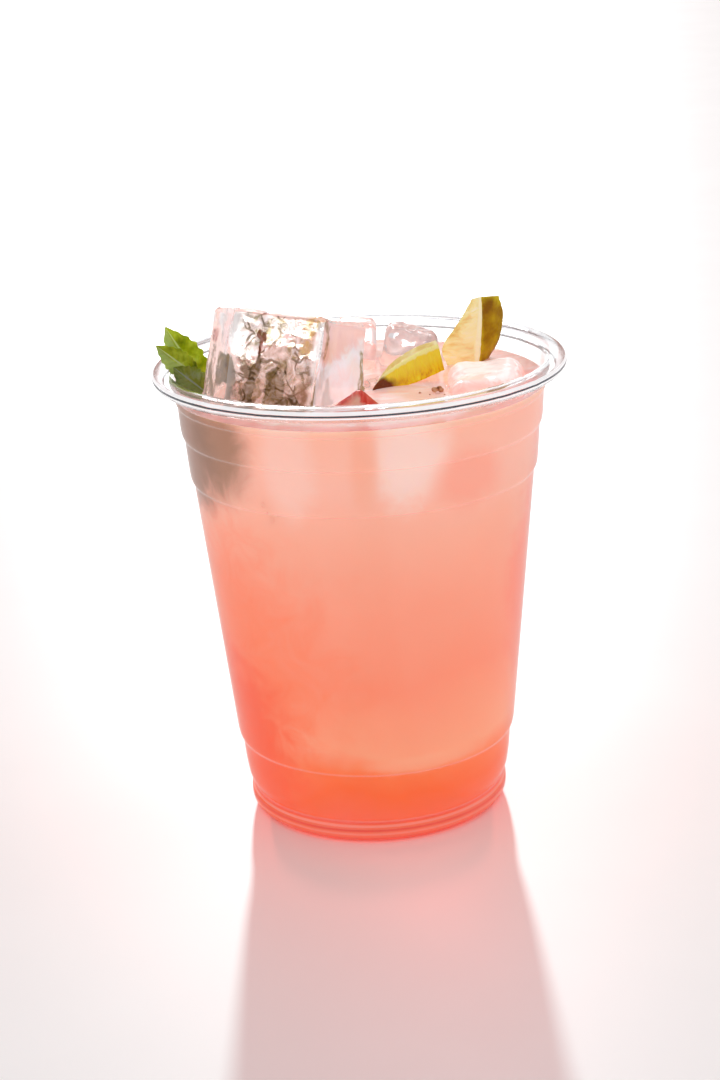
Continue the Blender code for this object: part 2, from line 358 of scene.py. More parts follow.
def cupInside(inset=0.0):
    # from the rim down to the axis; an inset below zero goes into the wall
    c = cupSizes
    step = c["wall"] + inset
    contact = c["footRadius"] - c["footFillet"]
    inner = c["footFillet"] - step
    floor = arcPoints((contact, c["footFillet"]), inner, inner, 0, -90, 6) + [
        (contact - c["footFlat"], step),
        (contact - c["footFlat"] - 0.9 * mm, 1.4 * mm + inset),
        (c["baseRadius"] + 1.6 * mm, c["baseLift"] - 0.3 * mm + inset),
        (c["baseRadius"], c["baseLift"] + step),
        (0.0, c["baseLift"] + step),
    ]
    return [(r - step, z) for r, z in reversed(cupWall)], floor


def nickedRim(r, z, angle):
    c = cupSizes
    if r < c["rimRadius"] - 2 * c["rimHalfWidth"] or z < c["rimTop"] - 5 * mm:
        return r, z
    push = 0.0
    for nick in c["rimNicks"]:
        gap = (angle - math.radians(nick) + math.pi) % math.tau - math.pi
        push += math.exp(-(gap / c["nickWidth"]) ** 2)
    outward = (r - (c["rimRadius"] - c["rimHalfWidth"])) / c["rimHalfWidth"]
    return r - outward * push * c["nickDepth"], z - push * c["nickDepth"]


def clearPlastic():
    n = Look("clearPlastic", 0.03, 1.5, 0.35)
    n.set({"Base Color": (0.985, 0.99, 1.0), "Transmission Weight": 1.0})
    n.bumped(n.noise(n.stretched(n.point(), (1.0, 1.0, 0.25)), 90.0, 2.0), 0.2 * mm, 0.35)
    n.letLampsThrough((0.97, 0.97, 0.98))
    return n.material


def rimPlastic(name, tint, clear, glow, specular):
    n = Look(name, 0.06, 1.5, specular)
    grime = n.eased(n.noise(n.point(), 260.0), 0.3, 0.7)
    n.set({"Base Color": n.mixed(grime, tint, tuple(t * 0.93 for t in tint)), "Transmission Weight": clear,
           "Emission Color": (1.0, 1.0, 1.0), "Emission Strength": glow})
    n.letLampsThrough((0.95, 0.95, 0.96))
    return n.material


def makeCup():
    c = cupSizes
    halfWidth, halfDepth = c["rimHalfWidth"], c["rimHalfDepth"]
    centre = (c["rimRadius"] - halfWidth, c["rimTop"] - halfDepth)
    under = arcPoints(centre, halfWidth - c["wall"], halfDepth - c["wall"], 180, c["rimEnd"], 26)
    angles = [c["rimEnd"] + 8 * k for k in range(11)]
    # degrees from, to, and how many parts
    arcs = ((-27, -21, 1), (*c["lowCrest"], 2), (*c["darkReflection"], 2),
            (*c["crest"], 4), (*c["top"], 8), (150, 180, 2))
    for low, high, parts in arcs:
        angles += [low + (high - low) * k / parts for k in range(parts + 1)]
    angles = sorted(set(angles))
    over = [arcPoints(centre, halfWidth, halfDepth, a, a, 1)[0] for a in angles]
    foot, wall = cupOutside()
    inner, floor = cupInside()
    outside = roundedLine(foot[:5], 2) + foot[5:] + roundedLine(wall, 3)
    profile = outside + under + over + roundedLine(inner, 3) + roundedLine(floor, 2)
    verts, faces = spun(profile, c["sides"], nickedRim)
    # the material of each row of faces, by its place in makePiece's list
    rows = [0] * (len(profile) - 1)
    for k, (low, high) in enumerate(zip(angles, angles[1:])):
        for part, slot in (("darkReflection", 1), ("crest", 2), ("lowCrest", 2), ("top", 3)):
            if c[part][0] <= low and high <= c[part][1]:
                rows[len(outside) + len(under) + k] = slot
    for k, ((r, low), (_, high)) in enumerate(zip(outside, outside[1:])):
        middle = (low + high) / 2
        if r > c["ridgesFrom"] and any(abs(middle - h * mm) < w * mm for h, w in c["ridges"]):
            rows[k] = 4
    slots = [slot for slot in rows for _ in range(c["sides"])]
    materials = [clearPlastic()] + [rimPlastic(*look) for look in rimLooks]
    makePiece("tumbler", verts, faces, materials, ["cup"], faceSlots=slots)
    print("cup made")


# drink

drinkLook = {
    "sides": 160, "across": 26, "pocketGrid": 22,
    "level": 105.0 * mm,
    "intoWall": 0.15 * mm, "intoIce": 0.25 * mm,
    "meniscus": 0.4 * mm, "meniscusReach": 1.1 * mm,
    "pocketsFrom": 90.0 * mm,    # faces of the pockets in the ice lie above this height
    "rippleHeight": 0.16 * mm, "rippleSize": 7.0 * mm, "calmRing": 6.0 * mm,
    "roughness": 0.12,
    "glow": 0.46,
    "surfaceGlow": 0.16,
    "shadowTint": (0.60, 0.20, 0.17),
    "surfaceWash": (1.0, 0.66, 0.62), "washShare": 0.6,
    # paler and deeper swirls on the surface, the paler ones painted highlight streaks: (from, full, none,
    # strength), colour
    "swirl": (0.8, 1.6, 1.0),
    "swirls": (
        ((0.53, 0.68, 0.0, 0.6), (1.0, 0.86, 0.84)),
        ((0.47, 0.34, 0.0, 0.5), (1.0, 0.44, 0.36)),
    ),
    "ringFrom": (36.5 * mm, 40.0 * mm),    # the surface is deeper pink along the wall
    "ringColour": (1.0, 0.34, 0.29), "ringShare": 0.8,
    "ringFades": (-8.0 * mm, 14.0 * mm), "ringBehind": 0.15,    # less so towards the back
    "iceWash": (1.0, 0.86, 0.83),
    "iceGlow": 0.3,
    # colour by height above the table, in mm, and how far the heights drift up and down; the paler stop at 24
    # mm is a painted highlight band just above the lower step
    "drift": 14.0 * mm,
    "byHeight": (
        (3, (0.97, 0.20, 0.12)),
        (14, (1.0, 0.19, 0.05)),
        (19, (1.0, 0.24, 0.075)),
        (24, (1.0, 0.44, 0.26)),
        (42, (1.0, 0.355, 0.215)),
        (60, (1.0, 0.41, 0.27)),
        (78, (1.0, 0.50, 0.36)),
        (92, (1.0, 0.57, 0.45)),
        (105, (1.0, 0.57, 0.43)),
    ),
    # thin lines round the foot, the pale ones painted highlights on the plastic's edges and the dark red ones
    # painted shade in the groove and at the foot: height and half width in mm, colour, strength
    "footHighlightAndShadeLines": (
        (5.1, 0.4, (0.85, 0.12, 0.08), 0.6),
        (4.3, 0.35, (1.0, 0.38, 0.29), 0.8),
        (3.3, 0.35, (0.72, 0.08, 0.055), 0.75),
        (2.4, 0.35, (1.0, 0.33, 0.24), 0.75),
        (0.9, 0.8, (0.88, 0.11, 0.07), 0.8),
        (18.7, 0.4, (1.0, 0.40, 0.28), 0.4),
    ),
    # what shows through the wall from just below it: (centre in mm, reach in mm, stretch, colour, strength)
    "ragged": 0.7, "sunkenEdge": (0.45, 1.2),    # how uneven and how soft their outlines are
    "sunken": (
        ((-36, -8, 42), 42.0, (1, 1, 0.95), (1.0, 0.26, 0.115), 0.75),
        ((-32, -8, 20), 27.0, (1, 1, 0.8), (0.97, 0.135, 0.04), 0.95),
        ((37, 2, 56), 20.0, (1, 1, 0.36), (1.0, 0.25, 0.16), 0.8),
        ((-34, -27, 101), 12.5, (1, 1, 0.7), (0.43, 0.215, 0.125), 0.9),
        ((-39, -14, 96), 14.0, (1, 1, 0.8), (0.36, 0.18, 0.11), 0.9),
        ((-17, -39, 97), 7.0, (1, 1, 0.45), (1.0, 0.66, 0.56), 0.75),
        ((10, -42, 98), 10.5, (1, 1, 0.8), (1.0, 0.76, 0.68), 0.85),
        ((0, -43, 97), 3.8, (1, 1, 0.3), (0.98, 0.50, 0.35), 0.7),
        ((24, -35, 91), 11.0, (1, 1, 1.3), (1.0, 0.38, 0.26), 0.5),
        ((36, -24, 97), 10.0, (1, 1, 0.7), (0.98, 0.56, 0.44), 0.6),
        ((40.4, -7.5, 72), 4.2, (1, 1, 0.3), (0.84, 0.33, 0.23), 0.45),
        ((36, -12, 58), 11.0, (1, 1, 0.5), (1.0, 0.29, 0.18), 0.6),
        ((12, -33, 21), 9.0, (0.5, 0.5, 4.0), (1.0, 0.48, 0.30), 0.6),
    ),
}


def drinkMaterial(name, glow, wash=None):
    d = drinkLook
    n = Look(name, d["roughness"], 1.34, 0.25)
    where = n.point()
    _, y, z = n.axes(where)
    drift = n.rag(n.noise(where, 38.0, 3.0, 0.5, 0.4), d["drift"])
    top = d["byHeight"][-1][0]
    share = n.math("DIVIDE", n.plus(z, drift), top * mm, True)
    colour = n.ramp(share, [(h / top, tint) for h, tint in d["byHeight"]])
    rag = n.rag(n.noise(where, 110.0, 4.0, 0.6, 1.0), d["ragged"])
    for centre, reach, stretch, tint, strength in d["sunken"]:
        offset = n.vector("SUBTRACT", where, Vector(centre) * mm, "Vector")
        away = n.vector("LENGTH", n.vector("MULTIPLY", offset, stretch, "Vector"))
        far = n.plus(n.math("DIVIDE", away, reach * mm), rag)
        colour = n.mixed(n.eased(far, *d["sunkenEdge"], strength, 0.0), colour, tint)
    for height, reach, tint, strength in d["footHighlightAndShadeLines"]:
        off = n.gap(z, height * mm)
        colour = n.mixed(n.eased(off, 0.3 * reach * mm, 1.2 * reach * mm, strength, 0.0), colour, tint)
    if wash:
        colour = n.mixed(d["washShare"], colour, wash)
        swirl = n.noise(n.stretched(where, d["swirl"]), 80.0, 4.0, 0.6, 2.2)
        for limits, tint in d["swirls"]:
            colour = n.mixed(n.eased(swirl, *limits), colour, tint)
        out = n.vector("LENGTH", n.stretched(where, (1, 1, 0)))
        ring = n.times(n.eased(out, *d["ringFrom"], 0.0, d["ringShare"]),
                       n.eased(y, *d["ringFades"], 1.0, d["ringBehind"]))
        colour = n.mixed(ring, colour, d["ringColour"])
    n.glows(colour, glow)    # the light that comes through it from behind
    n.soaked(0.35, (1.0, 0.45, 0.3), 6 * mm)
    n.letLampsThrough(d["shadowTint"])
    return n.material


def drinkSurface(r, z, angle):
    # small ripples over the open surface, none at the wall
    d = drinkLook
    if z < d["level"] - 0.01 * mm:
        return r, z
    inner = cupRadiusAt(d["level"]) - cupSizes["wall"]
    calm = min(1.0, max(0.0, (inner - r) / d["calmRing"]))
    at = Vector((r * math.cos(angle), r * math.sin(angle), 0)) / d["rippleSize"]
    return r, z + noise.noise(at) * d["rippleHeight"] * calm


def cupRadiusAt(height):
    for (r0, z0), (r1, z1) in zip(cupWall, cupWall[1:]):
        if z0 <= height <= z1:
            return r0 + (r1 - r0) * (height - z0) / (z1 - z0)
    return cupWall[-1][0]


def icePocket(block, seed):
    # the drink reaches a little into the ice, so that no air shows between them
    points, faces = roundedBlock(block["size"], block["corner"], drinkLook["pocketGrid"])
    place = poseMatrix(block["centre"], *block["angles"])
    skin = iceRelief["crinkle"] * block["crinkle"] * 0.8 + drinkLook["intoIce"]
    shaped = bigCubeShape if block["node"] == "ice_front" else Vector
    verts = [place @ (shaped(p) - away * (meltDepth(p, seed) + skin)) for p, away in points]
    name = block["name"] + "Pocket"
    return bpy.data.objects.new(name, newMesh(name, verts, faces))


def makeDrink():
    d = drinkLook
    wall, floor = cupInside(-d["intoWall"])
    side = [(r, z) for r, z in roundedLine(wall, 3) if z < d["level"] + d["meniscus"] - 0.1 * mm]
    edge = cupRadiusAt(d["level"]) - cupSizes["wall"] + d["intoWall"]
    surface = []
    for i in range(d["across"] + 1):
        r = edge * i / d["across"]
        rise = math.exp(-(edge - r) / d["meniscusReach"]) * d["meniscus"]
        surface.append((r, d["level"] + rise))
    surface.insert(-1, (edge - 0.5 * mm, d["level"] + d["meniscus"] * 0.63))
    verts, faces = spun(surface + side + roundedLine(floor, 2), d["sides"], drinkSurface)
    looks = [
        drinkMaterial("pinkLemonade", d["glow"]),
        drinkMaterial("lemonadeSurface", d["surfaceGlow"], d["surfaceWash"]),
        drinkMaterial("lemonadeRoundIce", d["iceGlow"], d["iceWash"]),
    ]
    drink = makePiece("lemonade", verts, faces, looks, ["drink"])
    pockets = bpy.data.collections.new("pockets")
    for seed, block in enumerate(iceBlocks, start=1):
        pockets.objects.link(icePocket(block, seed))
    cut = drink.modifiers.new("pockets", "BOOLEAN")
    cut.operation = "DIFFERENCE"
    cut.operand_type = "COLLECTION"
    cut.collection = pockets
    cut.solver = "EXACT"
    bpy.context.view_layer.update()
    graph = bpy.context.evaluated_depsgraph_get()
    mesh = bpy.data.meshes.new_from_object(drink.evaluated_get(graph))
    drink.modifiers.clear()
    drink.data = mesh
    mesh.shade_smooth()
    mesh.set_sharp_from_angle(angle=math.radians(50))
    for polygon in mesh.polygons:
        middle = polygon.center
        if polygon.normal.z > 0.5 and middle.z > d["level"] - 0.3 * mm:
            polygon.material_index = 1
        elif middle.z > d["pocketsFrom"] and middle.xy.length < cupRadiusAt(middle.z) - 1.5 * mm:
            polygon.material_index = 2
        else:
            polygon.material_index = 0
    for pocket in list(pockets.objects):
        bpy.data.objects.remove(pocket)
    bpy.data.collections.remove(pockets)
    print("drink made", len(mesh.polygons))


# ice

iceBlocks = (
    {"node": "ice_front", "name": "bigIceCube", "size": (28.8, 27.6, 29.0), "centre": (-17.8, -9.2, 110.2),
     "angles": (-24.0, -13.2, 11.0), "corner": 2.0, "crinkle": 1.0, "grid": 96,
     "looks": ("clearIce", "milkyIceSide", "crazedIce")},
    {"node": "ice_back", "name": "iceBehind", "size": (10.6, 14.0, 19.0), "centre": (-0.9, 19.6, 107.0),
     "angles": (-3.0, -3.0, 5.0), "corner": 2.4, "crinkle": 0.4, "grid": 32,
     "looks": ("pinkIce",)},
    {"node": "ice_back_right", "name": "iceBehindRight", "size": (13.6, 13.0, 15.6),
     "centre": (12.2, 21.9, 105.4), "angles": (-5.0, -4.0, 12.0), "corner": 2.8, "crinkle": 1.2, "grid": 44,
     "looks": ("greyIce",)},
    {"node": "ice_right", "name": "iceSlab", "size": (18.6, 23.0, 14.0), "centre": (29.8, -4.8, 101.5),
     "angles": (-4.0, 3.0, -3.0), "corner": 4.2, "crinkle": 0.6, "grid": 56,
     "looks": ("milkyIce",)},
)
iceRelief = {
    "melt": 0.6 * mm, "meltSize": 9.0 * mm,
    "crinkle": 0.31 * mm, "crinkleSize": 3.2 * mm,
    "fine": 0.13 * mm, "fineSize": 1.2 * mm,
    "dimples": 0.45, "swells": 1.1,      # shares of the two in the crinkle
    "warp": 0.35, "warpSize": 3.0 * mm, "patchSize": 11.0 * mm,
    # the big cube: its top left corner is lower, its hidden left edge drawn in
    "dip": 0.5 * mm, "lean": 2.6 * mm,
    # its right rear edge comes out towards the foot
    "spread": 2.2 * mm,
}

# the big cube's wide face, along it from its middle: smooth up to the first line, crazed from the second
crazing = {
    "from": -8.0 * mm, "to": -4.5 * mm, "fades": (11.8 * mm, 13.0 * mm),
    "cell": 240.0, "bend": 8.5 * mm, "bendScale": 170.0,
    # pale and brown spots, painted reflections of the leaves and the darker room
    "patches": (
        (0.33, (1.0, 0.95, 0.94)), (0.45, (0.82, 0.62, 0.56)),
        (0.54, (0.52, 0.40, 0.32)), (0.64, (0.26, 0.18, 0.07)),
    ),
    "line": (0.14, 0.09, 0.05),
}

# stripes of colour along the big cube's upright edges: direction of the edge from the cube's middle,
# (from, to) that way and (bottom, top) upwards in mm, colour, strength
cornerStripes = (
    ((1, -1, 0), (16.8, 18.6), (5.6, 15), (0.52, 0.33, 0.10), 1.0),
    ((1, -1, 0), (17.3, 18.6), (-10, 5.6), (0.18, 0.10, 0.05), 0.95),
)
cubeStripes = {
    "clearIce": cornerStripes,
    "crazedIce": cornerStripes,
    "milkyIceSide": (
        ((1, -1, 0), (17.3, 18.8), (4.8, 13.8), (0.30, 0.18, 0.10), 0.9),
        ((1, 1, 0), (17.3, 19.7), (-2, 8.0), (0.24, 0.18, 0.04), 0.95),
    ),
}
stripeEdge = {"wander": 3.2 * mm, "soft": 0.45, "softEnd": 0.5}    # the last two in mm

# milk is how much of it isn't clear; the other two are the heights in mm between which a colour comes in
# higher up: salmon on the big cube's right face, and on the slab a white top that is part frost and part
# painted highlight
iceLooks = {
    "clearIce": {"milk": 0.04, "veins": (0.95, 0.91, 0.90), "clear": (1.0, 0.99, 0.99), "glow": 0.08},
    "crazedIce": {"milk": 0.34, "veins": (0.95, 0.91, 0.90), "clear": (1.0, 0.99, 0.99), "glow": 0.08},
    "milkyIceSide": {"milk": 0.55, "veins": (0.97, 0.84, 0.87), "clear": (0.94, 0.93, 0.99), "glow": 0.2,
                     "topBand": (114.0, 117.5), "topColour": (0.98, 0.62, 0.58)},
    "pinkIce": {"milk": 0.10, "veins": (0.94, 0.70, 0.68), "clear": (0.97, 0.94, 0.94), "glow": 0.05},
    "greyIce": {"milk": 0.14, "veins": (0.60, 0.60, 0.63), "clear": (0.94, 0.95, 0.97), "glow": 0.05},
    "milkyIce": {"milk": 0.78, "veins": (1.0, 0.60, 0.54), "clear": (1.0, 0.74, 0.69), "glow": 0.24,
                 "topBand": (106.9, 108.1), "topColour": (1.0, 0.985, 0.975)},
}


def alongCube(n, where, axis):
    # how far a point lies from the big cube's middle, along one of the cube's own directions
    big = iceBlocks[0]
    place = poseMatrix(big["centre"], *big["angles"])
    direction = place.to_3x3() @ Vector(axis).normalized()
    return n.math("SUBTRACT", n.vector("DOT_PRODUCT", where, direction), place.translation.dot(direction))


def between(n, value, low, high, soft):
    # one inside the two limits, nothing outside, all in mm
    return n.times(n.eased(value, (low - soft) * mm, (low + soft) * mm),
                   n.eased(value, (high - soft) * mm, (high + soft) * mm, 1.0, 0.0))


def striped(n, where, colour, stripes):
    wander = n.rag(n.noise(where, 260.0, 3.0, 0.6), stripeEdge["wander"])
    # breaks the stripes into pieces at random
    stripeBreaks = n.eased(n.noise(where, 410.0, 3.0, 0.6), 0.36, 0.56, 0.3, 1.0)
    up = n.plus(alongCube(n, where, (0, 0, 1)), wander)
    for axis, width, height, tint, strength in stripes:
        across = n.plus(alongCube(n, where, axis), wander)
        inside = n.times(between(n, across, *width, stripeEdge["soft"]),
                         between(n, up, *height, stripeEdge["softEnd"]))
        colour = n.mixed(n.times(inside, strength, stripeBreaks), colour, tint)
    return colour


def crazed(n, where, colour):
    c = crazing
    local = alongCube(n, where, (1, 0, 0))
    mask = n.times(n.eased(local, c["from"], c["to"]), n.eased(local, *c["fades"], 1.0, 0.0))
    # painted reflections of the leaves and the darker room in the crackled ice, as pale and brown spots
    paintedReflections = n.ramp(n.noise(where, 290.0, 4.0, 0.6, 1.2), c["patches"])
    bent = n.mixed(c["bend"], where, n.noise(where, c["bendScale"], 2.0, output="Color"), "ADD")
    cells = n.add("TexVoronoi", {"Scale": c["cell"], "Vector": bent}, "Distance", feature="DISTANCE_TO_EDGE")
    broken = n.eased(n.noise(where, 330.0, 2.0), 0.37, 0.52)
    line = n.times(n.eased(cells, 0.03, 0.11, 1.0, 0.0), broken)
    return n.mixed(mask, colour, n.mixed(line, paintedReflections, c["line"]))


def iceMaterial(name):
    look = iceLooks[name]
    n = Look(name, 0.04, 1.31)
    where = n.point()
    veins = n.noise(where, 160.0, 4.0, 0.6, 1.5)
    colour = n.mixed(n.eased(veins, 0.35, 0.7), look["clear"], look["veins"])
    if "topBand" in look:
        z = n.plus(n.axes(where)["Z"], n.rag(veins, 6 * mm))
        colour = n.mixed(n.eased(z, *(h * mm for h in look["topBand"])), colour, look["topColour"])
    if name == "crazedIce":
        colour = crazed(n, where, colour)
    if name in cubeStripes:
        colour = striped(n, where, colour, cubeStripes[name])
    n.glows(colour, look["glow"])
    n.set({"Transmission Weight": 1.0 - look["milk"]})
    n.bumped(n.noise(where, 700.0, 3.0, 0.6), 0.3 * mm, 0.25)
    n.letLampsThrough((0.93, 0.93, 0.94))
    return n.material


def poseMatrix(centre, turn, pitch, lean):
    return (
        Matrix.Translation(Vector(centre) * mm)
        @ Matrix.Rotation(math.radians(lean), 4, "Y")
        @ Matrix.Rotation(math.radians(pitch), 4, "X")
        @ Matrix.Rotation(math.radians(turn), 4, "Z")
    )


def roundedBlock(size, corner, count):
    # points and outward directions on a round-edged box, with its faces
    half = Vector(size) * mm / 2
    core = half - Vector((corner, corner, corner)) * mm
    found = {}
    points = []
    faces = []

    def vertex(key):
        if key not in found:
            c = [2 * k / count - 1 for k in key]
            spread = [math.copysign(1 - (1 - abs(v)) ** 1.3, v) for v in c]
            point = Vector([s * h for s, h in zip(spread, half)])
            inner = Vector([max(-k, min(k, p)) for p, k in zip(point, core)])
            away = (point - inner).normalized()
            found[key] = len(points)
            points.append((inner + away * corner * mm, away))
        return found[key]

    for axis in range(3):
        for side in (0, count):
            for i in range(count):
                for j in range(count):
                    keys = []
                    for a, b in ((i, j), (i + 1, j), (i + 1, j + 1), (i, j + 1)):
                        key = [a, b]
                        key.insert(axis, side)
                        keys.append(tuple(key))
                    faces.append([vertex(k) for k in keys])
    return points, faces


def meltDepth(point, seed):
    slow = noise.noise(point / iceRelief["meltSize"] + Vector((seed * 7.3, seed * 3.1, seed * 5.7)))
    return iceRelief["melt"] * (0.5 + slow)


def iceDepth(point, away, seed, block):
    r = iceRelief
    shift = Vector((seed * 2.1, 4.0, seed))
    warp = noise.noise_vector(point / r["warpSize"] + shift) * r["warp"]
    near = noise.voronoi(point / r["crinkleSize"] + warp + shift)[0]
    dimple = smoothStep(0.05, 0.75, near[1] - near[0])
    rough = r["dimples"] * dimple + r["swells"] * noise.noise(point / r["crinkleSize"] * 1.5 - shift)
    fine = noise.noise(point / r["fineSize"] + shift)
    where = 0.3 + 0.7 * smoothStep(-0.35, 0.15, noise.noise(point / r["patchSize"] + shift))
    if block["node"] == "ice_front":
        # the face that shows widest is crazed but for its left strip, the narrow one beside it is smooth
        wide = smoothStep(-8 * mm, -4 * mm, point.x) * smoothStep(-0.5, -0.8, away.y)
        top = smoothStep(0.5, 0.8, away.z)
        where = max(0.12, 0.6 * wide, 0.6 * top)
    relief = block["crinkle"] * where * (r["crinkle"] * (rough - r["dimples"]) + r["fine"] * fine)
    return meltDepth(point, seed) + relief


def bigCubeShape(point):
    r = iceRelief
    left = smoothStep(-4 * mm, -11 * mm, point.x)
    high = smoothStep(6 * mm, 14 * mm, point.z)
    rear = smoothStep(-8 * mm, 13 * mm, point.y)
    low = smoothStep(12 * mm, -4 * mm, point.z)
    out = r["spread"] * rear * low * smoothStep(0, 12 * mm, point.x)
    inwards = r["lean"] * rear * smoothStep(0, -12 * mm, point.x)
    return point + Vector((out - inwards, 0, -r["dip"] * left * high))


nearlyFlat = 3.4    # the outward directions of a face's four corners add up to 4 where it is flat


def cubeSlot(corners):
    # the big cube is milky on its right, crazed on its wide face right of the smooth strip, clear elsewhere
    if sum(away.x for point, away in corners) > nearlyFlat:
        return 1
    facesUs = sum(away.y for point, away in corners) < -nearlyFlat
    if facesUs and min(point.x for point, away in corners) > crazing["from"]:
        return 2
    return 0


def makeIce():
    for seed, block in enumerate(iceBlocks, start=1):
        points, faces = roundedBlock(block["size"], block["corner"], block["grid"])
        place = poseMatrix(block["centre"], *block["angles"])
        big = block["node"] == "ice_front"
        shaped = bigCubeShape if big else Vector
        verts = [place @ (shaped(p) - away * iceDepth(p, away, seed, block)) for p, away in points]
        slots = [cubeSlot([points[k] for k in face]) for face in faces] if big else None
        looks = [iceMaterial(name) for name in block["looks"]]
        makePiece(block["name"], verts, faces, looks, [block["node"]], faceSlots=slots)
    print("ice made")


# what the big ice cube shows inside it: strips of leaf along its back and a red crumb

insideIce = {
    "backY": 11.4 * mm, "rings": 6,
    "thickness": 0.35 * mm, "wave": 0.5 * mm, "waveSize": 3.5 * mm,
    # outlines on the cube's back, (across, up) from its middle in mm
    "strips": (
        ("stripLeft", ((-12.6, -14), (-9.0, -14), (-9.0, -8), (-8.0, -2),
                       (-7.6, 3.5), (-9.4, 4.6), (-11.4, 0), (-12.6, -7))),
        ("stripCorner", ((-17.4, -14), (-14.6, -14), (-14.2, -6),
                         (-14.4, 1.5), (-15.6, 3.6), (-17.2, 2.0), (-17.6, -6))),
        ("stripMiddle", ((-7.6, -12), (1.0, -11.5), (3.2, -9), (1.4, -4.6), (-0.6, -5.6),
                         (-1.6, -0.2), (-4.4, 1.8), (-5.6, -2), (-5.2, -7))),
        ("stripRight", ((7.4, -12), (11.5, -12), (12.6, -6), (11.0, -1.0), (9.6, -5.0), (8.2, -6.5))),
    ),
    "stripColours": ((0.13, 0.065, 0.004), (0.27, 0.16, 0.012), (0.40, 0.27, 0.03)),
    "crumb": {"centre": (-8.6, 10.4, 6.6), "size": (1.2, 0.6, 2.2), "colour": (0.42, 0.10, 0.06)},
}


def stripMaterial():
    n = Look("wetLeafStrip", 0.3, 1.4)
    patches = n.noise(n.point(), 330.0, 4.0, 0.6, 0.6)
    n.set({"Base Color": n.ramp(patches, list(zip((0.35, 0.52, 0.68), insideIce["stripColours"])))})
    n.bumped(patches, 0.4 * mm, 0.6)
    return n.material


def makeInsideIce():
    s = insideIce
    big = iceBlocks[0]
    place = poseMatrix(big["centre"], *big["angles"])
    look = stripMaterial()
    for name, line in s["strips"]:
        for _ in range(3):
            cut = []
            for (x0, z0), (x1, z1) in zip(line, line[1:] + line[:1]):
                cut.append((x0 * 0.75 + x1 * 0.25, z0 * 0.75 + z1 * 0.25))
                cut.append((x0 * 0.25 + x1 * 0.75, z0 * 0.25 + z1 * 0.75))
            line = cut
        count = len(line)
        midX = sum(x for x, z in line) / count
        midZ = sum(z for x, z in line) / count
        verts = []
        for side in (-0.5, 0.5):
            for ring in range(s["rings"]):
                share = 1.0 - ring / s["rings"]
                for x, z in line:
                    px = (midX + (x - midX) * share) * mm
                    pz = (midZ + (z - midZ) * share) * mm
                    wave = noise.noise(Vector((px, 3.0 * mm, pz)) / s["waveSize"]) * s["wave"]
                    verts.append(place @ Vector((px, s["backY"] + wave + side * s["thickness"], pz)))
        inner = (s["rings"] - 1) * count
        sheet = quadsBetween(s["rings"], count) + [[inner + i for i in range(count)]]
        faces = bothSides(sheet, list(range(count)), s["rings"] * count)
        makePiece(name, verts, faces, [look])
    c = s["crumb"]
    n = Look("redCrumb", 0.35, 1.4)
    paler = tuple(v * 1.6 for v in c["colour"])
    n.set({"Base Color": n.mixed(n.noise(n.point(), 500.0), c["colour"], paler)})
    makeLumps("redCrumb", [(c["centre"], c["size"], place, 14, 20, 0.4, 2.0)], n.material)
    print("leaf strips and crumb in the ice made")


# lemon

lemonWedges = (
    {"node": "lemon_front", "name": "lyingLemon", "stations": (
        ((2.6, -8.0, 104.2), (3.0, -7.0, 105.6), (3.8, -4.4, 105.2)),
        ((5.6, -6.2, 103.8), (5.6, -3.4, 107.6), (5.8, 0.6, 107.2)),
        ((9.6, -4.4, 104.2), (8.8, -0.6, 109.2), (8.2, 6.0, 108.4)),
        ((14.8, -3.2, 105.4), (14.0, 1.4, 111.6), (13.4, 8.2, 110.8)),
        ((20.2, -1.6, 107.2), (18.9, 1.2, 113.4), (18.4, 6.8, 112.6)),
    ), "flesh": {
        "streaks": 26.0, "pith": 0.60, "fade": 0.75, "glow": 0.2, "darkEnd": (5.0, -6.6, 104.6),
        "darkReach": (2.6 * mm, 5.0 * mm), "darkColour": (0.15, 0.010, 0.002),
        "colours": ((0.60, 0.22, 0.001), (0.78, 0.40, 0.002), (0.88, 0.56, 0.006), (0.94, 0.70, 0.03)),
        "pale": (0.93, 0.72, 0.05), "pithColour": (0.95, 0.82, 0.30),
    }, "peel": {
        "colours": ((0.84, 0.56, 0.06), (0.94, 0.70, 0.16), (0.98, 0.82, 0.36)),
        # the colour of the painted highlight along the peel's edges and far end
        "edge": (0.98, 0.82, 0.40),
    }},
    {"node": "lemon_back", "name": "standingLemon", "stations": (
        ((23.6, 15.2, 97.0), (27.6, 15.2, 97.0), (28.6, 19.6, 97.0)),
        ((20.8, 13.8, 104.8), (29.0, 14.6, 105.0), (31.9, 20.4, 104.6)),
        ((19.6, 13.4, 109.6), (29.4, 14.4, 109.8), (34.9, 20.6, 109.2)),
        ((24.2, 14.0, 115.8), (29.8, 14.6, 116.2), (36.2, 20.6, 115.4)),
        ((27.6, 14.8, 120.8), (29.8, 15.4, 121.2), (35.2, 20.0, 120.2)),
    ), "flesh": {
        "streaks": 15.0, "pith": 0.56, "fade": 0.35, "glow": 0.28,
        "colours": ((0.70, 0.44, 0.12), (0.84, 0.66, 0.25), (0.92, 0.80, 0.42), (0.97, 0.92, 0.66)),
        "pale": (0.95, 0.82, 0.48), "pithColour": (0.96, 0.86, 0.56),
    }, "peel": {
        "colours": ((0.34, 0.14, 0.001), (0.52, 0.27, 0.002), (0.72, 0.47, 0.006)),
        # the colour of the painted highlight along the peel's edges and far end
        "edge": (0.88, 0.68, 0.02),
    }},
)
lemonGrid = {"perStation": 14, "onCut": 22, "onPeel": 20, "rounding": 5, "peelFrom": 1.04, "peelTo": 1.93}


def curveThrough(points, steps):
    padded = [points[0]] + points + [points[-1]]
    curve = []
    for a, b, c, d in zip(padded, padded[1:], padded[2:], padded[3:]):
        for i in range(steps):
            t = i / steps
            bend = (2 * a - 5 * b + 4 * c - d) * t * t + (3 * b - a - 3 * c + d) * t * t * t
            curve.append(b + ((c - a) * t + bend) / 2)
    return curve + [points[-1]]


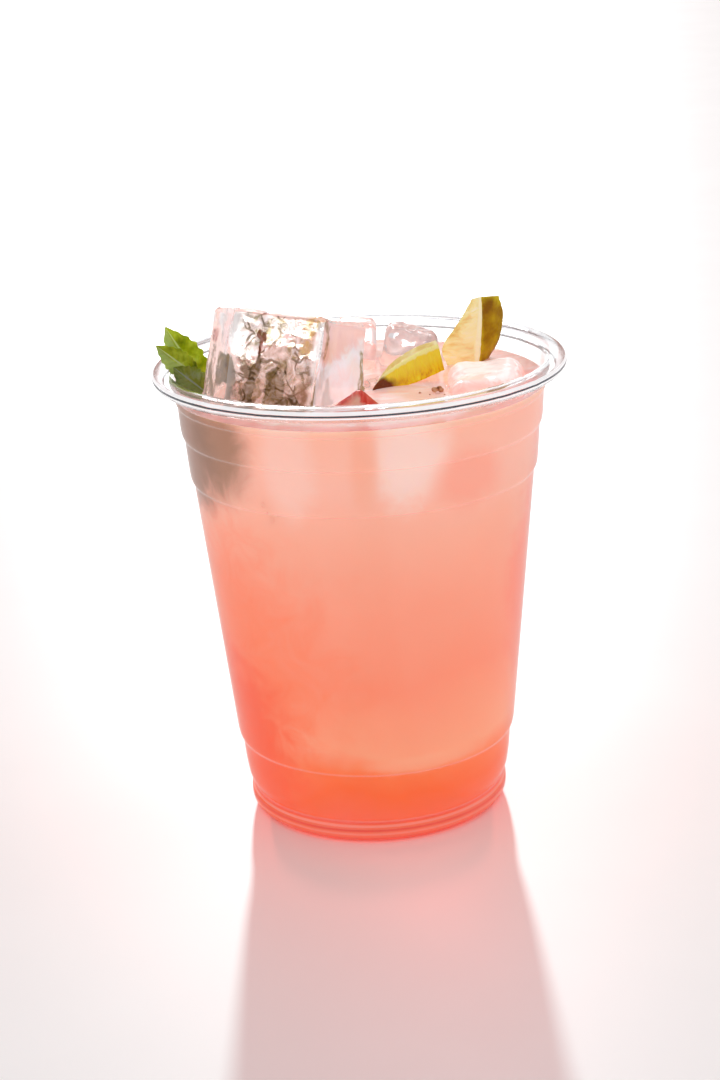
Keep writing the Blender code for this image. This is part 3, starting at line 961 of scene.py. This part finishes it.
def wedgeSection(core, near, far):
    # one closed section: near cut face, peel, far cut face, with the share from 0 to 3 round it
    g = lemonGrid
    middle = (near + far) / 2
    bulge = middle + (middle - core) * 0.1
    ring = []
    shares = []
    for i in range(g["onCut"]):
        ring.append(core.lerp(near, i / g["onCut"]))
        shares.append(i / g["onCut"])
    for i in range(g["onPeel"]):
        t = i / g["onPeel"]
        ring.append(near * (1 - t) ** 2 + (bulge * 2 - middle) * 2 * t * (1 - t) + far * t * t)
        shares.append(1 + t)
    for i in range(g["onCut"]):
        ring.append(far.lerp(core, i / g["onCut"]))
        shares.append(2 + i / g["onCut"])
    for _ in range(g["rounding"]):
        ring = [(ring[i - 1] + ring[i] * 2 + ring[(i + 1) % len(ring)]) / 4 for i in range(len(ring))]
    return ring, shares


def lemonFlesh(wedge):
    look = wedge["flesh"]
    n = Look(wedge["name"] + "Flesh", 0.25, 1.36, 0.4)
    uv = n.point("UV")
    across = n.axes(uv)["Y"]
    streaks = n.noise(n.stretched(uv, (look["streaks"], 2.2, 1.0)), 1.0, 3.0, 0.6, 0.5)
    cloud = n.noise(n.point(), 210.0, 2.0)
    pulp = n.plus(n.times(streaks, 0.72), n.times(cloud, 0.28))
    colour = n.ramp(pulp, list(zip((0.33, 0.45, 0.57, 0.70), look["colours"])))
    # paler towards the peel, then a band of pith
    edge = n.plus(n.gap(across, 1.5), n.rag(streaks, 0.2))
    colour = n.mixed(n.eased(edge, 0.8, 1.35, look["fade"], 0.0), colour, look["pale"])
    colour = n.mixed(n.eased(edge, look["pith"], look["pith"] + 0.08, 1.0, 0.0), colour, look["pithColour"])
    if "darkEnd" in look:
        away = n.vector("DISTANCE", n.point(), Vector(look["darkEnd"]) * mm)
        dark = n.eased(n.plus(away, n.rag(cloud, 5 * mm)), *look["darkReach"], 0.97, 0.0)
        colour = n.mixed(dark, colour, look["darkColour"])
    n.glows(colour, look["glow"])
    n.soaked(0.2, (1.0, 0.6, 0.2), 2 * mm)
    n.bumped(streaks, 0.6 * mm, 0.6)
    return n.material


def lemonPeel(wedge):
    look = wedge["peel"]
    n = Look(wedge["name"] + "Peel", 0.42, 1.38, 0.2)
    where = n.point()
    along, across, _ = n.axes(n.point("UV"))
    patches = n.noise(where, 190.0, 3.0, 0.55)
    peel = n.ramp(patches, list(zip((0.35, 0.52, 0.70), look["colours"])))
    rag = n.rag(patches, 0.3)
    # painted highlight: the peel is lighter along its edges by the cut faces and at the wedge's far end
    edgeHighlight = n.eased(n.plus(n.gap(across, 1.5), rag), 0.34, 0.5, 0.0, 0.9)
    lit = n.eased(n.plus(along, rag), 0.84, 1.0, 0.0, 0.9)
    n.set({"Base Color": n.mixed(n.math("MAXIMUM", edgeHighlight, lit), peel, look["edge"])})
    n.bumped(n.noise(where, 1500.0, 2.0, 0.5), 0.4 * mm, 0.5)
    return n.material


def makeLemon():
    g = lemonGrid
    for wedge in lemonWedges:
        stations = [[Vector(point) * mm for point in station] for station in wedge["stations"]]
        lines = [curveThrough(list(line), g["perStation"]) for line in zip(*stations)]
        verts = []
        uvs = []
        rows = len(lines[0])
        for n, (core, near, far) in enumerate(zip(*lines)):
            ring, shares = wedgeSection(core, near, far)
            for point, share in zip(ring, shares):
                pitted = noise.noise(Vector((n * 0.35, share * 5.0, 3.0)))
                inward = ((core + near + far) / 3 - point).normalized()
                verts.append(point + inward * (0.12 + 0.16 * pitted) * mm)
                uvs.append((n / (rows - 1), share))
        count = len(ring)
        ends = [[n * count + i for i in range(count)] for n in (0, rows - 1)]
        peelOrFlesh = [1 if g["peelFrom"] <= share < g["peelTo"] else 0 for share in shares]
        slots = peelOrFlesh * (rows - 1) + [0, 0]
        looks = [lemonFlesh(wedge), lemonPeel(wedge)]
        faces = quadsBetween(rows, count) + ends
        makePiece(wedge["name"], verts, faces, looks, [wedge["node"]], uvs, slots)
    print("lemon made")


# strawberry

berrySizes = {
    "length": 17.0 * mm, "width": 13.8 * mm, "thickness": 4.0 * mm, "points": 96,
    "centre": (-1.1, -23.2, 101.2), "along": (0.12, -0.1, 1), "facing": (0.15, -1, 0.3),
    # half of the rounded edge: share of the outline, place across the thickness
    "profile": (
        (0.0, -1), (0.2, -1), (0.4, -1), (0.6, -0.98),
        (0.76, -0.92), (0.88, -0.8), (0.96, -0.5), (1.0, 0),
    ),
    "flesh": (
        (0.35, (0.98, 0.66, 0.52)), (0.82, (0.97, 0.60, 0.46)),
        (0.92, (0.93, 0.36, 0.27)), (1.0, (0.66, 0.06, 0.05)),
    ),
    "fibreColour": (0.97, 0.62, 0.50),
    # red skin beyond a slanting line: its direction, where it begins and is full, two reds
    "redAcross": (0.93, 0.0, 0.36), "redFrom": (37.6 * mm, 38.6 * mm),
    "reds": ((0.80, 0.055, 0.035), (0.93, 0.17, 0.11)),
    "seed": (-3.6, -25.5, 105.2), "seedReach": (0.6 * mm, 1.3 * mm), "seedColour": (0.45, 0.09, 0.08),
}


def berryMaterial():
    b = berrySizes
    n = Look("strawberrySlice", 0.18, 1.38)
    where = n.point()
    uv = n.point("UV")
    fibres = n.noise(n.stretched(uv, (3.0, 30.0, 1.0)), 1.0, 3.0, 0.6, 0.4)
    patchy = n.noise(where, 260.0, 3.0)
    flesh = n.ramp(n.plus(n.axes(uv)["X"], n.rag(patchy, 0.16)), b["flesh"])
    colour = n.mixed(n.eased(fibres, 0.45, 0.75, 0.0, 0.5), flesh, b["fibreColour"])
    line = n.plus(n.vector("DOT_PRODUCT", where, b["redAcross"]), n.rag(patchy, 6 * mm))
    red = n.mixed(n.eased(fibres, 0.35, 0.7), *b["reds"])
    colour = n.mixed(n.eased(line, *b["redFrom"]), colour, red)
    seed = n.vector("DISTANCE", where, Vector(b["seed"]) * mm)
    colour = n.mixed(n.eased(seed, *b["seedReach"], 0.85, 0.0), colour, b["seedColour"])
    n.set({"Base Color": colour})
    n.soaked(0.4, (1.0, 0.3, 0.2), 3 * mm)
    n.bumped(fibres, 0.4 * mm, 0.5)
    return n.material


def makeBerry():
    b = berrySizes
    along, facing = lyingAxes(b["along"], b["facing"])
    place = placed(b["centre"], (along, -facing, facing.cross(along)))
    profile = list(b["profile"])
    profile += [(share, -side) for share, side in reversed(profile[:-1])]
    verts = []
    uvs = []
    rows = []
    for share, side in profile:
        row = []
        for i in range(b["points"]):
            a = math.tau * i / b["points"]
            tip = math.cos(a)
            full = 1.0 - 0.06 * tip - 1.1 * max(0.0, tip - 0.5)
            seedDip = max(0.0, math.sin(i * 0.9) * math.sin(side * 4)) * 0.14 * mm if share > 0.8 else 0.0
            scale = share - seedDip / (b["width"] / 2)
            spot = (tip * b["length"] * scale, side * b["thickness"], math.sin(a) * b["width"] * full * scale)
            row.append(len(verts))
            verts.append(place @ (Vector(spot) / 2))
            uvs.append((share, i / b["points"]))
            if share == 0.0:
                break
        rows.append(row if len(row) > 1 else row * b["points"])
    faces = []
    for low, high in zip(rows, rows[1:]):
        for i in range(b["points"]):
            j = (i + 1) % b["points"]
            faces.append(list(dict.fromkeys([low[i], low[j], high[j], high[i]])))
    makePiece("berrySlice", verts, faces, [berryMaterial()], ["strawberry"], uvs)
    print("strawberry made")


# mint

mintLeaves = (
    {"node": "mint_upper", "name": "tallMint", "size": (15.6, 9.0), "bend": -0.06,
     "stalk": (-36.9, -3.4, 108.0), "along": (-0.50, -0.02, 0.86), "facing": (-0.1, -1, 0.1), "shade": 1.0},
    {"node": "mint_side", "name": "sideMint", "size": (11.4, 6.0), "bend": -0.08,
     "stalk": (-38.2, -6.4, 110.6), "along": (-0.80, 0.04, 0.66), "facing": (-0.1, -1, 0.3), "shade": 0.85},
    {"node": "mint_lower", "name": "lowMint", "size": (8.8, 6.6), "bend": -0.10,
     "stalk": (-36.4, -9.0, 107.4), "along": (-0.70, 0.02, 0.62), "facing": (-0.1, -1, 0.5), "shade": 0.45},
)
leafGrid = {
    "along": 60, "across": 22, "thickness": 0.45 * mm, "fold": 0.3, "veins": 7, "veinDepth": 0.22 * mm,
    "glow": 0.22,
    # at full shade; red and green get darker with a leaf's shade, blue stays
    "greens": (
        (0.30, (0.13, 0.17, 0.002)), (0.46, (0.32, 0.36, 0.004)),
        (0.60, (0.48, 0.54, 0.03)), (0.72, (0.62, 0.70, 0.18)),
    ),
}


def leafMaterial(name, shade):
    g = leafGrid
    n = Look(name, 0.4, 1.4, 0.3)
    across = n.axes(n.point("UV"))["Y"]
    blotches = n.noise(n.point(), 260.0, 3.0, 0.55)
    green = n.ramp(blotches, [(at, (r * shade, h * shade, b)) for at, (r, h, b) in g["greens"]])
    paleHalf = n.eased(across, 0.52, 0.62, 0.0, 0.6)
    body = n.mixed(paleHalf, green, (0.46 * shade, 0.54 * shade, 0.20 * shade))
    rib = n.eased(n.gap(across, 0.5), 0.015, 0.05, 0.8, 0.0)
    # light comes through it too
    n.glows(n.mixed(rib, body, (0.60 * shade, 0.68 * shade, 0.26)), g["glow"] * shade)
    n.soaked(0.3, (0.5, 1.0, 0.1), 1.5 * mm)
    n.bumped(n.noise(n.point(), 900.0, 3.0), 0.3 * mm, 0.5)
    return n.material


def leafPoint(leaf, u, v):
    g = leafGrid
    length, width = (s * mm for s in leaf["size"])
    outline = math.sin(math.pi * min(1.0, u * 0.92 + 0.08) ** 0.85) ** 0.8
    teeth = 1.0 + 0.07 * math.cos(u * math.tau * g["veins"])
    across = v * width / 2 * max(outline, 0.04) * teeth
    lift = g["fold"] * abs(across) + leaf["bend"] * length * u * u
    ripple = 0.05 * width * math.sin(u * 11.0 + 2.0 * v) * abs(v)
    vein = max(0.0, math.cos((u - abs(v) * 0.22) * math.tau * g["veins"])) ** 4 * min(1.0, abs(v) * 4)
    return Vector((length * u, across, lift + ripple - g["veinDepth"] * vein))


def makeMint():
    g = leafGrid
    row = g["across"] + 1
    last = g["along"] * row
    # round the leaf's edge
    border = [i * row for i in range(g["along"])] + [last + j for j in range(g["across"])]
    border += [i * row + g["across"] for i in range(g["along"], 0, -1)] + list(range(g["across"], 0, -1))
    faces = bothSides(quadsBetween(g["along"] + 1, row, False), border, last + row)
    for leaf in mintLeaves:
        along, facing = lyingAxes(leaf["along"], leaf["facing"])
        place = placed(leaf["stalk"], (along, facing.cross(along), facing))
        verts = []
        uvs = []
        for side in (-0.5, 0.5):
            for i in range(g["along"] + 1):
                for j in range(row):
                    u = i / g["along"]
                    v = 2 * j / g["across"] - 1
                    lift = side * g["thickness"] * (1.0 - 0.6 * abs(v) ** 3)
                    verts.append(place @ (leafPoint(leaf, u, v) + Vector((0, 0, lift))))
                    uvs.append((u, j / g["across"]))
        material = leafMaterial(leaf["name"] + "Green", leaf["shade"])
        makePiece(leaf["name"], verts, faces, [material], [leaf["node"]], uvs)
    print("mint made")


# drops on the wall, bubbles at the surface, crumbs

smallThings = {
    # on the wall: angle round the cup in degrees, height, width, length (mm)
    "drops": (
        (-123.5, 86.9, 1.0, 1.3), (-121.4, 83.2, 1.2, 1.9),
        (-122.6, 85.0, 0.5, 0.6), (-118.8, 84.4, 0.45, 0.5),
    ),
    "dropHeight": 0.45,
    # on the drink's surface: x, y, radius (mm)
    "bubbles": (
        (1.2, -4.0, 1.2), (3.0, -1.2, 1.0), (0.2, -6.8, 0.85), (4.6, 1.4, 0.9),
        (-0.6, -3.0, 0.7), (1.6, -1.6, 0.7), (5.4, 3.6, 0.6), (-0.9, -8.4, 0.55),
        (2.2, 0.8, 0.55), (20.4, -9.0, 0.6), (22.2, -14.0, 0.5), (17.8, -13.6, 0.5),
    ),
    # x, y, half width, half height (mm)
    "crumbs": (
        (18.0, -11.2, 1.25, 1.0), (13.8, -11.8, 0.3, 0.22), (20.9, -9.8, 0.36, 0.28),
        (21.5, -10.6, 0.22, 0.2), (16.0, -14.0, 0.2, 0.16), (19.4, -14.4, 0.22, 0.16),
    ),
    "crumbColours": ((0.32, (0.20, 0.06, 0.012)), (0.45, (0.66, 0.27, 0.11)), (0.65, (0.88, 0.50, 0.30))),
}


def makeSmallThings():
    s = smallThings
    n = Look("waterDrop", 0.03, 1.33)
    n.set({"Transmission Weight": 1.0, "Base Color": (0.99, 0.98, 0.98)})
    n.letLampsThrough((0.97, 0.97, 0.97))
    drops = []
    for degrees, height, wide, tall in s["drops"]:
        a = math.radians(degrees)
        out = Vector((math.cos(a), math.sin(a), -0.1)).normalized()
        side = Vector((-math.sin(a), math.cos(a), 0))
        r = cupRadiusAt(height * mm) / mm - 0.12
        place = placed((r * math.cos(a), r * math.sin(a), height), (side, out.cross(side), out))
        drops.append(((0, 0, 0), (wide / 2, tall / 2, s["dropHeight"] * wide), place, 14, 22, 0.15, height))
    makeLumps("wallDrops", drops, n.material)
    level = drinkLook["level"] / mm
    here = Matrix()
    bubbles = [((x, y, level + r * 0.45), (r, r, r), here, 14, 22, 0.06, x) for x, y, r in s["bubbles"]]
    makeLumps("bubbles", bubbles, n.material)
    n = Look("zestCrumb", 0.4, 1.4, 0.3)
    n.set({"Base Color": n.ramp(n.noise(n.point(), 900.0, 3.0), s["crumbColours"])})
    crumbs = [((x, y, level + 0.3 * tall), (wide, wide * 0.8, tall), here, 12, 18, 0.5, y)
              for x, y, wide, tall in s["crumbs"]]
    makeLumps("zestCrumbs", crumbs, n.material)
    print("drops, bubbles and crumbs made")


# camera, table and lights

cameraView = {
    "place": (0.0, -495.8, 230.0),
    "pan": -0.214, "tilt": 18.307, "roll": -2.869,   # degrees
    "lens": 71.69, "sensor": 36.0,
}


def makeCamera():
    c = cameraView
    pan, tilt, roll = (math.radians(c[k]) for k in ("pan", "tilt", "roll"))
    forward = Vector((math.sin(pan) * math.cos(tilt), math.cos(pan) * math.cos(tilt), -math.sin(tilt)))
    level = Vector((math.cos(pan), -math.sin(pan), 0.0))
    up = level.cross(forward)
    right = level * math.cos(roll) + up * math.sin(roll)
    top = up * math.cos(roll) - level * math.sin(roll)
    data = bpy.data.cameras.new("photoCamera")
    data.lens = c["lens"]
    data.sensor_width = c["sensor"]
    data.clip_start = 10 * mm
    camera = bpy.data.objects.new("photoCamera", data)
    camera.matrix_world = placed(c["place"], (right, top, -forward))
    bpy.context.scene.collection.objects.link(camera)
    bpy.context.scene.camera = camera


room = {
    "evenLight": (0.61, 0.61, 0.615),    # what matt things get from all round
    "walls": (0.50, 0.51, 0.53),         # and what gloss and clear things see of the room
    "cameraWall": (0.17, 0.17, 0.19),
    "leftWall": (0.40, 0.42, 0.47),
    "window": (1.2, 1.2, 1.2),
    "besideWindow": (0.52, 0.28, 0.23),
    "horizon": (0.93, 0.93, 0.94),
    "ceiling": (1.15, 1.15, 1.15),
    # where each of them begins and is full, by the direction seen: x right, y back, z up
    "cameraSide": (0.15, -0.45), "ceilingFrom": (0.66, 0.8),
    "leftX": (-0.15, -0.55), "leftZ": (0.75, 0.35),
    "windowX": (-0.42, -0.28), "windowY": (0.5, 0.7), "windowZ": (0.02, 0.12),
    "besideX": (0.1, 0.2), "besideY": (0.3, 0.6),
    "tableColours": ((0.91, 0.872, 0.867), (0.925, 0.888, 0.883)), "tableReach": 60.0,    # metres
    # a low lamp far behind lights the table and draws the long shadow, a soft one lights the drink
    # (degrees right of straight behind, degrees up, degrees wide)
    "tableLamp": {"aside": -0.5, "up": 6.8, "softness": 2.6, "strength": 5.9},
    "drinkLamp": {"aside": -11.0, "up": 36.0, "softness": 12.0, "strength": 0.8},
}


def makeFloor():
    n = Look("paleTable", 0.5, 1.4, 0.1)
    faint = n.eased(n.noise(n.point(), 14.0), 0.35, 0.65)
    n.set({"Base Color": n.mixed(faint, *room["tableColours"])})
    reach = room["tableReach"]
    mesh = bpy.data.meshes.new("paleTable")
    corners = [(-reach, -reach, 0), (reach, -reach, 0), (reach, reach, 0), (-reach, reach, 0)]
    mesh.from_pydata(corners, [], [(0, 1, 2, 3)])
    mesh.materials.append(n.material)
    table = bpy.data.objects.new("paleTable", mesh)
    bpy.context.scene.collection.objects.link(table)
    return table


def makeLamp(name, lit):
    # one direction all over the table, as from a lamp far away
    r = room[name]
    data = bpy.data.lights.new(name, "SUN")
    data.energy = r["strength"]
    data.angle = math.radians(r["softness"])
    lamp = bpy.data.objects.new(name, data)
    aside, up = math.radians(r["aside"]), math.radians(r["up"])
    towards = Vector((math.sin(aside) * math.cos(up), math.cos(aside) * math.cos(up), math.sin(up)))
    lamp.location = towards
    lamp.rotation_euler = towards.to_track_quat("Z", "Y").to_euler()
    bpy.context.scene.collection.objects.link(lamp)
    group = bpy.data.collections.new(name + "Lights")
    for thing in lit:
        group.objects.link(thing)
    lamp.light_linking.receiver_collection = group


def makeLight():
    r = room
    world = bpy.data.worlds.new("brightRoom")
    world.use_nodes = True
    n = Nodes(world.node_tree)
    x, y, z = n.axes(n.point("Generated"))
    colour = n.mixed(n.eased(y, *r["cameraSide"]), r["walls"], r["cameraWall"])
    leftSide = n.times(n.eased(x, *r["leftX"]), n.eased(z, *r["leftZ"]))
    colour = n.mixed(leftSide, colour, r["leftWall"])
    colour = n.mixed(n.eased(z, *r["ceilingFrom"]), colour, r["ceiling"])
    window = n.times(n.eased(y, *r["windowY"]), n.eased(x, *r["windowX"]), n.eased(z, *r["windowZ"]))
    colour = n.mixed(window, colour, r["window"])
    # outer faces that are seen edge on mirror a dimmer wall
    ray = n.tree.nodes.new("ShaderNodeLightPath").outputs
    aside = n.eased(n.math("ABSOLUTE", x), *r["besideX"])
    beside = n.times(ray["Is Glossy Ray"], aside, n.eased(y, *r["besideY"]))
    colour = n.mixed(beside, colour, r["besideWindow"])
    colour = n.mixed(ray["Is Diffuse Ray"], colour, r["evenLight"])
    colour = n.mixed(ray["Is Camera Ray"], colour, r["horizon"])
    n.put(n.tree.nodes["Background"].inputs["Color"], colour)
    world.cycles.sampling_method = "NONE"
    scene = bpy.context.scene
    scene.world = world
    scene.view_settings.view_transform = "Standard"
    scene.view_settings.look = "None"
    scene.cycles.max_bounces = 16
    scene.cycles.transmission_bounces = 12
    scene.cycles.transparent_max_bounces = 16
    print("camera, table and light made")


makeCamera()
table = makeFloor()
makeLight()
makeCup()
makeDrink()
makeIce()
makeInsideIce()
makeLemon()
makeBerry()
makeMint()
makeSmallThings()
makeLamp("tableLamp", [table])
things = [thing for thing in bpy.context.scene.objects if thing.type == "MESH" and thing != table]
makeLamp("drinkLamp", things)
